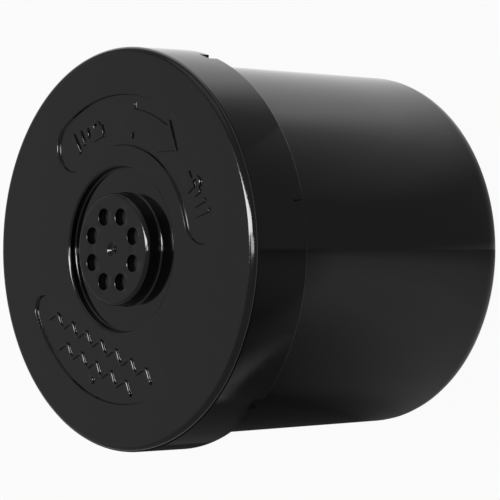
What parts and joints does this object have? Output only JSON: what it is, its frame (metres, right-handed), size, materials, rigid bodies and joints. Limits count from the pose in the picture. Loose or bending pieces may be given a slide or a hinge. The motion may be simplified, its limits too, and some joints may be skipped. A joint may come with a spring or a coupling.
{
  "type": "scale filter cartridge",
  "caption": "Black cylindrical water filter cartridge with a broad screw cap, a recessed perforated outlet, rim notches, raised turning marks and a resin bed inside.",
  "frame": {"origin": "middle of the foot, on the plane it stands on", "axes": "+Z out of the cap's face, +Y at the middle of the cap's turning arrow"},
  "size_m": [0.08, 0.08, 0.0735],
  "materials": {
    "shell": "glossy moulded black plastic",
    "inner_plastic": "plain moulded dark plastic",
    "pale_mesh": "fine woven nylon",
    "dark_mesh": "fine woven dark nylon",
    "felt": "needled felt",
    "foam": "open-cell foam",
    "resin": "settled bed of small beads",
    "seal": "smooth silicone rubber"
  },
  "bodies": {
    "canister": {"canister_body": "shell", "inlet_mesh": "pale_mesh", "inlet_felt": "felt", "clamp_ring": "inner_plastic", "resin_bed": "resin", "outlet_felt": "felt", "foam_disc": "foam", "retainer_plate": "inner_plastic"},
    "seal": {"sealing_ring": "seal"},
    "cap": {"screw_cap": "shell", "outlet_strainer": "shell", "outlet_mesh": "dark_mesh"}
  },
  "joints": [
    {"name": "cap_lift", "type": "slide", "parent": "canister", "child": "seal", "axis": [0, 0, 1], "range_m": [0, 0.0118]},
    {"name": "cap_turn", "type": "hinge", "parent": "seal", "child": "cap", "pos_m": [0, 0, 0], "axis": [0, 0, 1], "range_deg": [0, 285]}
  ],
  "couplings": [
    {"joint": "cap_turn", "follows": "cap_lift", "rad_per_m": 418.88}
  ]
}
